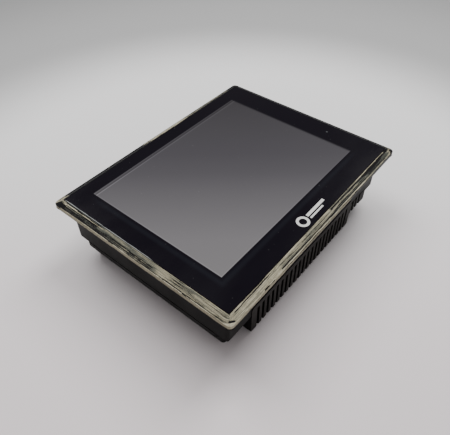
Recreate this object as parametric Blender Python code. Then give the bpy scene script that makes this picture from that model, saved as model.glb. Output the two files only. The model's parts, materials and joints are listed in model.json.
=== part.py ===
"""HMI touch panel for a door or cabinet cut-out, built as its separate pieces.

The panel lies on its back. The origin is the middle of the rear face's footprint, on the surface it
lies on. +X is the screen's right, +Y the screen's top, and +Z points out of the screen.
Dimensions here are millimetres; make_object() turns them into metres.
"""
import math

import bmesh
import bpy
from mathutils import Matrix, Vector

MM = 0.001
GAP = 0.3

# Overall size and the stack of the front, as heights above the rear face
WIDTH = 184.0
HEIGHT = 144.0
DEPTH = 50.0
FLANGE_BACK = 44.3
RIM_EDGE = 47.7
RIM_TOP = 49.9
RIM_SLOPE = 4.6
BEZEL_CORNER = 2.8
RIM_CORNER = 2.0
OVERLAY_INSET = 5.2
OVERLAY_CORNER = 1.6
OVERLAY_THICK = 0.4
OVERLAY_SEAT = DEPTH - OVERLAY_THICK - GAP
LEDGE_TOP = 46.6
LEDGE_UNDER = 45.3

# Display: active area and its place behind the film
ACTIVE_SIZE = (141.0, 105.8)
ACTIVE_CENTRE = (-1.1, 3.6)
LEDGE_WINDOW = (ACTIVE_SIZE[0] + 4.0, ACTIVE_SIZE[1] + 4.0)
TOUCH_SIZE = (153.0, 117.8)
MODULE_SIZE = (149.0, 117.2)
MODULE_CENTRE = (-1.1, 1.7)
MODULE_BACK = 39.3
MODULE_TOP = LEDGE_UNDER - GAP
MODULE_SHEET = 0.8

# Rear case: an upper tray that passes through the cut-out, and a narrower lower tray
CASE_WALL = 2.2
CASE_TOP = 44.0
TRAY_SIZE = (171.0, 129.4)
TRAY_CORNER = 2.2
TRAY_FLOOR = 16.0
GROOVE_LOW = 16.9
GROOVE_HIGH = 17.7
GROOVE_DEPTH = 0.7
LOWER_SIZE = (171.0, 114.0)
LOWER_BEND = (13.3, 10.0)
LOWER_WIDTHS = (171.0, 168.0, 160.0)
INNER_TRAY = (TRAY_SIZE[0] - 2 * CASE_WALL, TRAY_SIZE[1] - 2 * CASE_WALL)

# Vent block along the lower side, and the shallow step beside it
VENT_X = (-64.0, 52.0)
VENT_FACE_Y = -65.2
VENT_TOP = 25.0
VENT_EDGE = 1.5
VENT_COUNT = 22
VENT_PITCH = 4.92
VENT_FIRST_X = -57.5
VENT_SLOT = 2.4
VENT_SLOT_TOP = 21.0
STEP_X = (48.0, 74.0)
STEP_BASE = 10.6
STEP_VENT_COUNT = 3
TOP_VENT_COUNT = 13

# Main board and what is fixed to it
BOARD_SIZE = (160.0, 108.0)
BOARD_BACK = 15.6
BOARD_THICK = 1.6
BOARD_TOP = BOARD_BACK + BOARD_THICK
ON_BOARD = BOARD_TOP + GAP
UNDER_BOARD = BOARD_BACK - GAP
BOARD_SCREW_X = 76.0
BOARD_SCREW_Y = 49.0

# Screws between the case, the bezel and the display bracket
CASE_SCREW_X = 79.4
CASE_SCREW_Y = 60.0
CASE_SCREW_SEAT = 36.0
BRACKET_SCREW_Y = 35.0
BRACKET_BACK = 37.0
BRACKET_THICK = 1.0
BEZEL_POST_END = 38.3

# Connectors on the upper side of the lower tray
PORT_WALL_Y = 57.0
POWER_X = -63.0
POWER_PITCH = 5.08
COM_X = (-32.0, 2.0)
COM_Z = 8.6
JACK_OFFSET = 12.5
USB_HOST_X = 33.0
USB_CLIENT_X = 55.0

# Right side: battery door, card slot and service button
SIDE_FACE_X = TRAY_SIZE[0] / 2
DOOR_Y = 30.0
DOOR_SIZE = (24.0, 10.0)
DOOR_SILL = 19.5
HINGE_X = 84.2
HINGE_Z = 21.0
CARD_Y = -2.0
KEY_Y = -32.0
KEY_Z = 21.2

CELL_CENTRE = (68.6, DOOR_Y, 25.0)
CELL_RADIUS = 10.0
CELL_THICK = 3.2
LAMP_POSITION = (78.7, -24.8)

CORNERS = ((-1, -1), (1, -1), (1, 1), (-1, 1))


# --- materials ---------------------------------------------------------------------------------

def make_material(name, colour, roughness, metallic=0.0):
    material = bpy.data.materials.new(name)
    material.use_nodes = True
    shader = material.node_tree.nodes["Principled BSDF"]
    shader.inputs["Base Color"].default_value = (*colour, 1.0)
    shader.inputs["Roughness"].default_value = roughness
    shader.inputs["Metallic"].default_value = metallic
    material.diffuse_color = (*colour, 1.0)
    return material


def make_materials():
    """One material for each kind of surface: name, colour, roughness, metallic."""
    rows = (
        ("film", (0.012, 0.012, 0.018), 0.15, 0.0),
        ("bezel", (0.30, 0.29, 0.23), 0.5, 0.0),
        ("case", (0.02, 0.019, 0.018), 0.55, 0.0),
        ("seal", (0.015, 0.015, 0.015), 0.8, 0.0),
        ("glass", (0.35, 0.37, 0.38), 0.08, 0.0),
        ("steel", (0.62, 0.62, 0.60), 0.35, 1.0),
        ("zinc", (0.55, 0.56, 0.57), 0.3, 1.0),
        ("diffuser", (0.85, 0.85, 0.82), 0.5, 0.0),
        ("board", (0.02, 0.16, 0.07), 0.45, 0.0),
        ("chip", (0.03, 0.03, 0.032), 0.5, 0.0),
        ("aluminium", (0.75, 0.75, 0.76), 0.4, 1.0),
        ("terminal", (0.03, 0.28, 0.12), 0.45, 0.0),
        ("moulding", (0.03, 0.03, 0.03), 0.5, 0.0),
        ("ribbon", (0.42, 0.22, 0.06), 0.4, 0.0),
        ("light_guide", (0.80, 0.85, 0.82), 0.1, 0.0),
    )
    return {name: make_material(name, *values) for name, *values in rows}


# --- shapes in a bmesh, in millimetres ----------------------------------------------------------

def rounded_rectangle(size, radius, centre=(0.0, 0.0), segments=4):
    """The outline of a rectangle with round corners, anticlockwise."""
    points = []
    for quarter, (sign_x, sign_y) in enumerate(((1, 1), (-1, 1), (-1, -1), (1, -1))):
        corner_x = centre[0] + sign_x * (size[0] / 2 - radius)
        corner_y = centre[1] + sign_y * (size[1] / 2 - radius)
        for step in range(segments + 1):
            angle = math.radians(90 * (quarter + step / segments))
            points.append((corner_x + radius * math.cos(angle), corner_y + radius * math.sin(angle)))
    return points


def circle(centre, radius, segments=16):
    turns = (2 * math.pi * (step + 0.5) / segments for step in range(segments))
    return [(centre[0] + radius * math.cos(a), centre[1] + radius * math.sin(a)) for a in turns]


def along(axis, point, distance):
    """A point of an outline, put in space: the outline lies across the axis."""
    first, second = point
    if axis == "X":
        return (distance, first, second)
    if axis == "Y":
        return (first, distance, second)
    return (first, second, distance)


def add_loft(bm, rings, axis="Z"):
    """A closed solid through (outline, distance) rings that have the same number of points."""
    loops = [[bm.verts.new(along(axis, point, distance)) for point in outline] for outline, distance in rings]
    faces = [bm.faces.new(loops[0]), bm.faces.new(loops[-1])]
    count = len(loops[0])
    for lower, upper in zip(loops, loops[1:]):
        for i in range(count):
            j = (i + 1) % count
            faces.append(bm.faces.new((lower[i], lower[j], upper[j], upper[i])))
    bmesh.ops.recalc_face_normals(bm, faces=faces)


def add_prism(bm, outline, start, end, axis="Z"):
    add_loft(bm, ((outline, start), (outline, end)), axis)


def add_box(bm, x, y, z):
    """A box between pairs of x, y and z."""
    outline = ((x[0], y[0]), (x[1], y[0]), (x[1], y[1]), (x[0], y[1]))
    add_prism(bm, outline, z[0], z[1])


def add_cylinder(bm, centre, radius, start, end, axis="Z", segments=16):
    add_prism(bm, circle(centre, radius, segments), start, end, axis)


def add_ribbon(bm, path, x, thickness):
    """A flat cable of even thickness along a path of (y, z) points, between a pair of x."""
    sides = ([], [])
    for i, point in enumerate(path):
        before = Vector(path[max(i - 1, 0)])
        after = Vector(path[min(i + 1, len(path) - 1)])
        run = (after - before).normalized()
        normal = Vector((-run.y, run.x)) * thickness / 2
        sides[0].append(tuple(Vector(point) + normal))
        sides[1].append(tuple(Vector(point) - normal))
    add_prism(bm, sides[0] + sides[1][::-1], x[0], x[1], "X")


def smooth_path(points, steps=4):
    """A curve through points, read at even steps between each two (Catmull-Rom)."""
    knots = [Vector(p) for p in (points[0], *points, points[-1])]
    path = []
    for a, b, c, d in zip(knots, knots[1:], knots[2:], knots[3:]):
        for step in range(steps):
            t = step / steps
            value = 2 * b + (c - a) * t
            value += (2 * a - 5 * b + 4 * c - d) * t ** 2
            value += (3 * b - a - 3 * c + d) * t ** 3
            path.append(tuple(value / 2))
    path.append(tuple(points[-1]))
    return path


# --- objects -----------------------------------------------------------------------------------

def make_object(name, bm, material=None, origin=(0.0, 0.0, 0.0)):
    """Turns a bmesh in millimetres into an object in metres, with its origin where it is told."""
    bmesh.ops.transform(bm, matrix=Matrix.Translation(-Vector(origin)), verts=bm.verts)
    bmesh.ops.scale(bm, vec=(MM, MM, MM), verts=bm.verts)
    mesh = bpy.data.meshes.new(name)
    bm.to_mesh(mesh)
    bm.free()
    item = bpy.data.objects.new(name, mesh)
    item.location = Vector(origin) * MM
    bpy.context.scene.collection.objects.link(item)
    if material:
        mesh.materials.append(material)
    return item


def solid(name, material, *shapes, origin=(0.0, 0.0, 0.0)):
    """An object of one plain shape; each shape is (function, arguments...)."""
    bm = bmesh.new()
    for function, *arguments in shapes:
        function(bm, *arguments)
    return make_object(name, bm, material, origin)


def combine(item, operation, *shapes):
    """Adds or takes away shapes that stay clear of each other, and keeps the result as the mesh."""
    tool = solid("tool", None, *shapes)
    modifier = item.modifiers.new(operation, "BOOLEAN")
    modifier.operation = operation
    modifier.solver = "EXACT"
    modifier.object = tool
    graph = bpy.context.evaluated_depsgraph_get()
    result = bpy.data.meshes.new_from_object(item.evaluated_get(graph))
    item.modifiers.clear()
    item.data = result
    bpy.data.objects.remove(tool, do_unlink=True)
    return item


def add_to(item, *shapes):
    return combine(item, "UNION", *shapes)


def cut_from(item, *shapes):
    return combine(item, "DIFFERENCE", *shapes)


def shade_round(item, angle=32):
    """Smooth shading on the curved faces and sharp edges elsewhere."""
    item.data.shade_smooth()
    item.data.set_sharp_from_angle(angle=math.radians(angle))
    return item


def four(x, y):
    """Four points, one in each quarter."""
    return [(sign_x * x, sign_y * y) for sign_x, sign_y in CORNERS]


# --- front ---------------------------------------------------------------------------------------

def make_overlay_film(materials):
    size = (WIDTH - 2 * OVERLAY_INSET, HEIGHT - 2 * OVERLAY_INSET)
    outline = rounded_rectangle(size, OVERLAY_CORNER, segments=5)
    shade_round(solid("overlay_film", materials["film"], (add_prism, outline, DEPTH - OVERLAY_THICK, DEPTH)))


def bezel_outer_rings():
    """The flange's straight side, and the slope from its edge up to the film."""
    outer = rounded_rectangle((WIDTH, HEIGHT), BEZEL_CORNER, segments=5)
    top_size = (WIDTH - 2 * RIM_SLOPE, HEIGHT - 2 * RIM_SLOPE)
    top = rounded_rectangle(top_size, RIM_CORNER, segments=5)
    return ((outer, FLANGE_BACK), (outer, RIM_EDGE), (top, RIM_TOP))


def make_front_bezel(materials):
    recess = (WIDTH - 2 * OVERLAY_INSET + 2 * GAP, HEIGHT - 2 * OVERLAY_INSET + 2 * GAP)
    collar_outer = (2 * 82.4, 2 * 62.2)
    collar_inner = (2 * 81.0, 2 * 60.8)
    collar_end = 41.5
    pocket = (TOUCH_SIZE[0] + 0.8, TOUCH_SIZE[1] + 0.8)
    module_pocket = (MODULE_SIZE[0] + 0.8, MODULE_SIZE[1] + 0.8)
    flex_slot_x = (-20.5, -5.5)
    posts = four(CASE_SCREW_X, CASE_SCREW_Y) + four(CASE_SCREW_X, BRACKET_SCREW_Y)

    bezel = solid("front_bezel", materials["bezel"], (add_loft, bezel_outer_rings()))
    add_to(bezel, (add_prism, rounded_rectangle(collar_outer, 3.0), collar_end, FLANGE_BACK + 0.5))
    cut_from(bezel, (add_prism, rounded_rectangle(collar_inner, 2.0), collar_end - 1, FLANGE_BACK))
    add_to(bezel, *[(add_cylinder, post, 2.4, BEZEL_POST_END, FLANGE_BACK + 0.5) for post in posts])
    cut_from(bezel, (add_prism, rounded_rectangle(recess, OVERLAY_CORNER + GAP, segments=5), OVERLAY_SEAT, DEPTH + 1))
    cut_from(bezel, (add_prism, rounded_rectangle(pocket, 1.5, ACTIVE_CENTRE), LEDGE_TOP, DEPTH))
    cut_from(bezel, (add_prism, rounded_rectangle(module_pocket, 1.5, MODULE_CENTRE), 43.0, LEDGE_UNDER))
    cut_from(bezel, (add_prism, rounded_rectangle(LEDGE_WINDOW, 1.0, ACTIVE_CENTRE), 43.5, DEPTH))
    cut_from(bezel, (add_box, flex_slot_x, (-60.2, -55.0), (47.4, DEPTH)))
    cut_from(bezel, (add_box, flex_slot_x, (-60.1, -58.0), (43.0, DEPTH)))
    cut_from(bezel, (add_cylinder, LAMP_POSITION, 1.6, 43.0, DEPTH))
    cut_from(bezel, *[(add_cylinder, post, 1.4, BEZEL_POST_END - 1, 43.9, "Z", 12) for post in posts])
    shade_round(bezel)


def ring(name, material, outer, inner, centre, z, corner=2.0):
    """A flat frame: an outer outline less an inner one."""
    item = solid(name, material, (add_prism, rounded_rectangle(outer, corner, centre), z[0], z[1]))
    cut_from(item, (add_prism, rounded_rectangle(inner, corner / 2, centre), z[0] - 1, z[1] + 1))
    return shade_round(item)


def make_touch_sensor(materials):
    tape_z = (LEDGE_TOP + GAP, LEDGE_TOP + GAP + 0.4)
    tape_inner = (LEDGE_WINDOW[0] + 0.8, LEDGE_WINDOW[1] + 0.8)
    ring("touch_tape", materials["seal"], TOUCH_SIZE, tape_inner, ACTIVE_CENTRE, tape_z, 1.2)
    outline = rounded_rectangle(TOUCH_SIZE, 1.2, ACTIVE_CENTRE)
    glass_z = (tape_z[1] + GAP, OVERLAY_SEAT)
    shade_round(solid("touch_glass", materials["glass"], (add_prism, outline, *glass_z)))


def make_display_module(materials):
    inner = (MODULE_SIZE[0] - 2 * MODULE_SHEET, MODULE_SIZE[1] - 2 * MODULE_SHEET)
    frame = solid("lcd_frame", materials["steel"],
                  (add_prism, rounded_rectangle(MODULE_SIZE, 1.2, MODULE_CENTRE), MODULE_BACK, MODULE_TOP))
    cut_from(frame, (add_prism, rounded_rectangle(inner, 0.6, MODULE_CENTRE),
                     MODULE_BACK - 1, MODULE_TOP - MODULE_SHEET))
    cut_from(frame, (add_prism, rounded_rectangle(LEDGE_WINDOW, 0.8, ACTIVE_CENTRE), 42.0, DEPTH))
    shade_round(frame)

    cell_size = (inner[0] - 1.6, inner[1] - 1.6)
    cell_outline = rounded_rectangle(cell_size, 0.5, MODULE_CENTRE)
    solid("lcd_cell", materials["glass"], (add_prism, cell_outline, 41.7, 43.9))

    tray_size = (inner[0] - 0.8, inner[1] - 0.8)
    tray = solid("lcd_backlight", materials["diffuser"],
                 (add_prism, rounded_rectangle(tray_size, 0.6, MODULE_CENTRE), 38.3, 41.4))
    recess_size = (tray_size[0] - 40, tray_size[1] - 30)
    cut_from(tray, (add_prism, rounded_rectangle(recess_size, 3.0, MODULE_CENTRE), 37.0, 39.1))
    shade_round(tray)


def make_bracket(materials):
    """A pressed plate behind the display, with four ears that are screwed to the bezel's posts."""
    z = (BRACKET_BACK, BRACKET_BACK + BRACKET_THICK)
    plate = solid("lcd_bracket", materials["steel"], (add_box, (-76.0, 74.0), (-46.0, 54.5), z))
    ears = []
    for x, y in four(CASE_SCREW_X, BRACKET_SCREW_Y):
        ear_x = sorted((x + math.copysign(2.8, x), x - math.copysign(10.0, x)))
        ears.append((add_box, ear_x, (y - 4.5, y + 4.5), z))
    add_to(plate, *ears)
    windows = [(add_box, (x - 19, x + 19), (-26.0, 38.0), (z[0] - 1, z[1] + 1)) for x in (-48.0, 0.0, 48.0)]
    holes = [(add_cylinder, spot, 1.4, z[0] - 1, z[1] + 1, "Z", 12)
             for spot in four(CASE_SCREW_X, BRACKET_SCREW_Y)]
    cut_from(plate, *windows, *holes)
    shade_round(plate)


def make_screw(name, material, place, seat, head_radius, head_height, shank_radius, tip):
    """A pan-head screw with a cross recess. It points up, its head below the seat."""
    low = seat - head_height
    screw = solid(name, material, (add_cylinder, place, head_radius, low, seat, "Z", 20))
    add_to(screw, (add_cylinder, place, shank_radius, seat - 0.4, tip, "Z", 12))
    arm = head_radius * 0.55
    half = head_radius * 0.13
    recess_z = (low - 1, low + head_height * 0.55)
    cut_from(screw, (add_box, (place[0] - arm, place[0] + arm), (place[1] - half, place[1] + half), recess_z))
    cut_from(screw, (add_box, (place[0] - half, place[0] + half), (place[1] - arm, place[1] + arm), recess_z))
    return shade_round(screw)


def make_screws(materials):
    for number, spot in enumerate(four(CASE_SCREW_X, BRACKET_SCREW_Y), 1):
        make_screw(f"bracket_screw_{number}", materials["zinc"], spot, BRACKET_BACK - GAP, 2.2, 1.5, 1.1, 43.4)
    for number, spot in enumerate(four(CASE_SCREW_X, CASE_SCREW_Y), 1):
        make_screw(f"housing_screw_{number}", materials["zinc"], spot, CASE_SCREW_SEAT - GAP, 2.2, 1.6, 1.1, 43.4)


def make_gasket(materials):
    ring("panel_gasket", materials["seal"], (180.0, 140.0), (173.4, 133.4), (0, 0), (43.0, 44.0), 3.5)


# --- rear case -----------------------------------------------------------------------------------

def tray_rings():
    """The upper tray, with a shallow groove round its foot."""
    foot_size = (TRAY_SIZE[0] - 2 * GROOVE_DEPTH, TRAY_SIZE[1] - 2 * GROOVE_DEPTH)
    foot = rounded_rectangle(foot_size, TRAY_CORNER - GROOVE_DEPTH)
    wall = rounded_rectangle(TRAY_SIZE, TRAY_CORNER)
    return ((foot, TRAY_FLOOR), (foot, GROOVE_HIGH), (wall, GROOVE_HIGH + 0.01), (wall, CASE_TOP))


def lower_rings(inset, bottom, top):
    """The lower tray, whose left and right walls slope in towards the rear face."""
    heights = (top, *LOWER_BEND, bottom)
    widths = (LOWER_WIDTHS[0], *LOWER_WIDTHS)
    rings = []
    for height, width in zip(heights, widths):
        outline = rounded_rectangle((width - 2 * inset, LOWER_SIZE[1] - 2 * inset), TRAY_CORNER - inset / 2)
        rings.append((outline, height))
    return rings[::-1]


def slot_boxes(first_x, count, y, z):
    """A row of vent slots."""
    boxes = []
    for i in range(count):
        x = first_x + VENT_PITCH * i
        boxes.append((add_box, (x - VENT_SLOT / 2, x + VENT_SLOT / 2), y, z))
    return boxes


def shape_case_shell(case):
    """The outside and the hollow inside of the case."""
    vent_size = (VENT_X[1] - VENT_X[0], VENT_TOP)
    vent_centre = ((VENT_X[0] + VENT_X[1]) / 2, VENT_TOP / 2)
    vent_inner = (vent_size[0] - 2 * CASE_WALL, vent_size[1] - CASE_WALL - 1.0)
    vent_inner_centre = (vent_centre[0], CASE_WALL + vent_inner[1] / 2)
    inner_face_y = VENT_FACE_Y + CASE_WALL

    add_to(case, (add_loft, lower_rings(0.0, 0.0, GROOVE_LOW)))
    add_to(case, (add_prism, rounded_rectangle(vent_size, 2.0, vent_centre), VENT_FACE_Y, -50.0, "Y"))
    add_to(case, (add_box, STEP_X, (VENT_FACE_Y + 0.25, -50.0), (STEP_BASE, 20.0)))
    edge = ((VENT_FACE_Y - 1, -1), (VENT_FACE_Y + VENT_EDGE + 1, -1), (VENT_FACE_Y - 1, VENT_EDGE + 1))
    cut_from(case, (add_prism, edge, VENT_X[0] - 1, VENT_X[1] + 1, "X"))

    cut_from(case, (add_prism, rounded_rectangle(INNER_TRAY, 1.0), TRAY_FLOOR + CASE_WALL, CASE_TOP + 1))
    cut_from(case, (add_loft, lower_rings(CASE_WALL + 0.2, CASE_WALL, TRAY_FLOOR + 3)))
    cut_from(case, (add_prism, rounded_rectangle(vent_inner, 1.5, vent_inner_centre), inner_face_y, -49.0, "Y"))
    cut_from(case, (add_box, (STEP_X[0] - 8, STEP_X[1] - CASE_WALL), (inner_face_y + 0.4, -49.0),
                    (STEP_BASE + CASE_WALL, 20.0)))


def add_case_bosses(case):
    """Board bosses, screw tubes and the frame that stiffens the battery door's opening."""
    board_spots = four(BOARD_SCREW_X, BOARD_SCREW_Y)
    tube_spots = four(CASE_SCREW_X, CASE_SCREW_Y)
    add_to(case, *[(add_cylinder, spot, 2.8, CASE_WALL - 0.7, UNDER_BOARD) for spot in board_spots])
    add_to(case, *[(add_cylinder, spot, 4.1, TRAY_FLOOR + 0.7, BEZEL_POST_END - GAP) for spot in tube_spots])
    frame_y = (DOOR_Y - 14.5, DOOR_Y + 14.5)
    add_to(case, (add_box, (80.5, 84.6), frame_y, (TRAY_FLOOR + 1.8, 31.5)))

    cut_from(case, *[(add_cylinder, spot, 1.6, 7.0, BOARD_BACK + 1, "Z", 12) for spot in board_spots])
    cut_from(case, *[(add_cylinder, spot, 2.6, TRAY_FLOOR - 1, CASE_SCREW_SEAT) for spot in tube_spots])
    cut_from(case, *[(add_cylinder, spot, 1.5, CASE_SCREW_SEAT - 1, BEZEL_POST_END + 1, "Z", 12)
                     for spot in tube_spots])


def cut_vents(case):
    """The two rows of slots through the lower side, and the row in the upper side."""
    cut_from(case, *slot_boxes(VENT_FIRST_X, VENT_COUNT, (-67.0, -58.0), (-1.0, VENT_SLOT_TOP)))
    step_first_x = VENT_FIRST_X + VENT_PITCH * (VENT_COUNT + 1)
    cut_from(case, *slot_boxes(step_first_x, STEP_VENT_COUNT, (-67.0, -62.0), (STEP_BASE - 1, VENT_SLOT_TOP)))
    top_first_x = -VENT_PITCH * (TOP_VENT_COUNT - 1) / 2
    cut_from(case, *slot_boxes(top_first_x, TOP_VENT_COUNT, (61.0, 67.0), (22.0, 38.0)))


def cut_port_openings(case):
    """Openings in the lower tray's upper wall, one for each connector."""
    wall = (PORT_WALL_Y - 4.0, PORT_WALL_Y + 1.0)
    power = rounded_rectangle((18.2, 12.8), 0.6, (POWER_X, 9.2), 2)
    cut_from(case, (add_prism, power, *wall, "Y"))
    for x in COM_X:
        shell = rounded_rectangle((18.4, 10.0), 2.0, (x, COM_Z))
        jacks = [(add_cylinder, (x + side * JACK_OFFSET, COM_Z), 1.9, *wall, "Y") for side in (-1, 1)]
        cut_from(case, (add_prism, shell, *wall, "Y"), *jacks)
    cut_from(case, (add_prism, rounded_rectangle((14.2, 6.8), 0.6, (USB_HOST_X, 10.8), 2), *wall, "Y"))
    cut_from(case, (add_prism, rounded_rectangle((13.0, 11.8), 0.6, (USB_CLIENT_X, 9.2), 2), *wall, "Y"))


def cut_side_openings(case):
    """The battery door's seat, the card slot and the service button's hole, in the right wall."""
    door_y = (DOOR_Y - DOOR_SIZE[0] / 2, DOOR_Y + DOOR_SIZE[0] / 2)
    door_z = (DOOR_SILL, DOOR_SILL + DOOR_SIZE[1])
    cut_from(case, (add_box, (83.0, 87.0), door_y, door_z))
    cut_from(case, (add_box, (79.0, 84.0), (DOOR_Y - 10.7, DOOR_Y + 10.7), (22.2, door_z[1] - 0.9)))
    cut_from(case, (add_cylinder, (HINGE_X, HINGE_Z), 0.9, door_y[0] - 1.5, door_y[1] + 1.5, "Y", 12))
    cut_from(case, (add_cylinder, (DOOR_Y, door_z[1]), 3.6, SIDE_FACE_X - 0.9, 87.0, "X", 24))

    slot_y = (CARD_Y - 12.3, CARD_Y + 12.3)
    cut_from(case, (add_box, (84.7, 87.0), (CARD_Y - 14.8, CARD_Y + 12.9), (18.2, 23.2)))
    cut_from(case, (add_box, (82.0, 87.0), slot_y, (18.7, 21.1)))
    cut_from(case, (add_cylinder, (KEY_Y, KEY_Z), 2.9, 82.0, 87.0, "X", 24))


def cut_clip_notches(case):
    """Blind notches that the mounting clips hook into, two on the upper side and two on the lower."""
    depth = 1.2
    for side in (-1, 1):
        face = side * TRAY_SIZE[1] / 2
        y = sorted((face - side * depth, face + side * 3))
        cut_from(case, *[(add_box, (x - 4.5, x + 4.5), y, (27.0, 32.0)) for x in (-69.0, 69.0)])


def make_rear_housing(materials):
    case = solid("rear_housing", materials["case"], (add_loft, tray_rings()))
    shape_case_shell(case)
    add_case_bosses(case)
    cut_vents(case)
    cut_port_openings(case)
    cut_side_openings(case)
    cut_clip_notches(case)
    cut_from(case, (add_prism, rounded_rectangle((72.0, 40.0), 2.0, (0.0, 4.0)), -1.0, 0.5))
    shade_round(case)


# --- electronics -----------------------------------------------------------------------------------

def make_main_board(materials):
    board = solid("main_board", materials["board"],
                  (add_prism, rounded_rectangle(BOARD_SIZE, 2.0), BOARD_BACK, BOARD_TOP))
    holes = [(add_cylinder, spot, 1.6, BOARD_BACK - 1, BOARD_TOP + 1, "Z", 12)
             for spot in four(BOARD_SCREW_X, BOARD_SCREW_Y)]
    cut_from(board, *holes)
    shade_round(board)
    for number, spot in enumerate(four(BOARD_SCREW_X, BOARD_SCREW_Y), 1):
        make_board_screw(f"board_screw_{number}", materials["zinc"], spot)


def make_board_screw(name, material, place):
    """A pan-head screw that points down into its boss."""
    screw = solid(name, material, (add_cylinder, place, 2.4, ON_BOARD, ON_BOARD + 1.6, "Z", 20))
    add_to(screw, (add_cylinder, place, 1.3, 7.8, ON_BOARD + 0.4, "Z", 12))
    recess_z = (ON_BOARD + 0.7, ON_BOARD + 3)
    cut_from(screw, (add_box, (place[0] - 1.3, place[0] + 1.3), (place[1] - 0.3, place[1] + 0.3), recess_z))
    cut_from(screw, (add_box, (place[0] - 0.3, place[0] + 0.3), (place[1] - 1.3, place[1] + 1.3), recess_z))
    shade_round(screw)


def make_processor(materials):
    centre = (-18.0, 8.0)
    chip_top = ON_BOARD + 1.8
    base_z = (chip_top + GAP, chip_top + GAP + 2.0)
    solid("processor", materials["chip"],
          (add_prism, rounded_rectangle((23.0, 23.0), 0.6, centre, 2), ON_BOARD, chip_top))
    sink = solid("processor_heatsink", materials["aluminium"],
                 (add_box, (centre[0] - 14, centre[0] + 14), (centre[1] - 14, centre[1] + 14), base_z))
    fins = [(add_box, (centre[0] + x - 0.7, centre[0] + x + 0.7), (centre[1] - 13.9, centre[1] + 13.9),
             (base_z[1] - 0.5, 28.5)) for x in (-12.5, -7.5, -2.5, 2.5, 7.5, 12.5)]
    add_to(sink, *fins)


def make_power_parts(materials):
    solid("power_inductor", materials["chip"],
          (add_prism, rounded_rectangle((12.0, 12.0), 2.0, (-56.0, 30.0)), ON_BOARD, ON_BOARD + 6.5))
    capacitor = solid("power_capacitor", materials["aluminium"],
                      (add_cylinder, (-40.0, 34.0), 5.0, ON_BOARD, 33.0, "Z", 24))
    shade_round(capacitor)


def make_buzzer(materials):
    buzzer = solid("buzzer", materials["chip"], (add_cylinder, (20.0, -20.0), 6.0, ON_BOARD, 26.0, "Z", 24))
    cut_from(buzzer, (add_cylinder, (20.0, -20.0), 1.0, 24.0, 27.0, "Z", 10))
    shade_round(buzzer)


def make_lamp(materials):
    """The power lamp on the board, and the light guide that carries it up to the film."""
    x, y = LAMP_POSITION
    solid("power_led", materials["diffuser"],
          (add_box, (x - 1.1, x + 1.1), (y - 0.7, y + 0.7), (ON_BOARD, ON_BOARD + 0.9)))
    shade_round(solid("light_pipe", materials["light_guide"],
                      (add_cylinder, LAMP_POSITION, 1.2, ON_BOARD + 1.2, OVERLAY_SEAT - GAP, "Z", 16)))


def make_ribbons(materials):
    touch_path = smooth_path(((-55.7, 48.4), (-57.6, 48.2), (-59.0, 46.5), (-59.2, 40.0), (-59.0, 27.0),
                              (-57.0, 20.5), (-52.5, 17.9), (-47.0, 17.8)))
    display_path = smooth_path(((-49.0, 37.8), (-52.6, 37.3), (-55.0, 33.0), (-54.6, 26.0), (-51.0, 20.0),
                                (-46.0, 17.9), (-40.0, 17.8)))
    solid("touch_flex", materials["ribbon"], (add_ribbon, touch_path, (-19.5, -6.5), 0.3))
    solid("lcd_flex", materials["ribbon"], (add_ribbon, display_path, (8.0, 38.0), 0.3))


# --- connectors --------------------------------------------------------------------------------------

def d_outline(centre, half_top, half_bottom, half_height, radius):
    """The D of a 9-pin socket: a four-sided outline, wider at the top, with round corners."""
    corners = ((half_top, half_height), (-half_top, half_height), (-half_bottom, -half_height),
               (half_bottom, -half_height))
    points = []
    for i, corner in enumerate(corners):
        here = Vector(corner)
        to_before = (Vector(corners[i - 1]) - here).normalized()
        to_after = (Vector(corners[(i + 1) % 4]) - here).normalized()
        start = here + to_before * radius
        end = here + to_after * radius
        for step in range(4):
            t = step / 3
            point = start * (1 - t) ** 2 + here * 2 * t * (1 - t) + end * t ** 2
            points.append((centre[0] + point.x, centre[1] + point.y))
    return points


def make_com_port(name, material, x):
    """A 9-pin socket: body on the board, flange behind the wall and shell through it."""
    body = rounded_rectangle((19.0, 11.8), 0.8, (x, 9.4), 2)
    flange = rounded_rectangle((30.8, 12.2), 1.5, (x, COM_Z))
    port = solid(name, material, (add_prism, flange, 53.4, 54.3, "Y"))
    add_to(port, (add_prism, body, 42.0, 53.9, "Y"))
    add_to(port, (add_prism, d_outline((x, COM_Z), 8.4, 7.3, 4.2, 2.2), 54.0, 60.2, "Y"))
    holes = [(x + (i - 2) * 2.77, COM_Z + 1.42) for i in range(5)]
    holes += [(x + (i - 1.5) * 2.77, COM_Z - 1.42) for i in range(4)]
    cut_from(port, *[(add_cylinder, hole, 0.6, 56.0, 61.0, "Y", 8) for hole in holes])
    stud_holes = [(add_cylinder, (x + side * JACK_OFFSET, COM_Z), 1.9, 52.0, 55.0, "Y") for side in (-1, 1)]
    cut_from(port, *stud_holes)
    shade_round(port)


def make_jack_nut(name, material, x):
    """A hexagonal nut outside the wall whose stud passes through the wall and the socket's flange."""
    nut = solid(name, material, (add_prism, circle((x, COM_Z), 2.8, 6), 57.3, 62.0, "Y"))
    add_to(nut, (add_cylinder, (x, COM_Z), 1.4, 51.5, 57.8, "Y", 12))
    cut_from(nut, (add_cylinder, (x, COM_Z), 1.1, 58.3, 63.0, "Y", 12))
    shade_round(nut)


def make_com_ports(materials):
    for number, x in enumerate(COM_X, 1):
        make_com_port(f"com{number}_port", materials["zinc"], x)
    spots = [x + side * JACK_OFFSET for x in COM_X for side in (-1, 1)]
    for number, x in enumerate(spots, 1):
        make_jack_nut(f"jack_nut_{number}", materials["zinc"], x)


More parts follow.
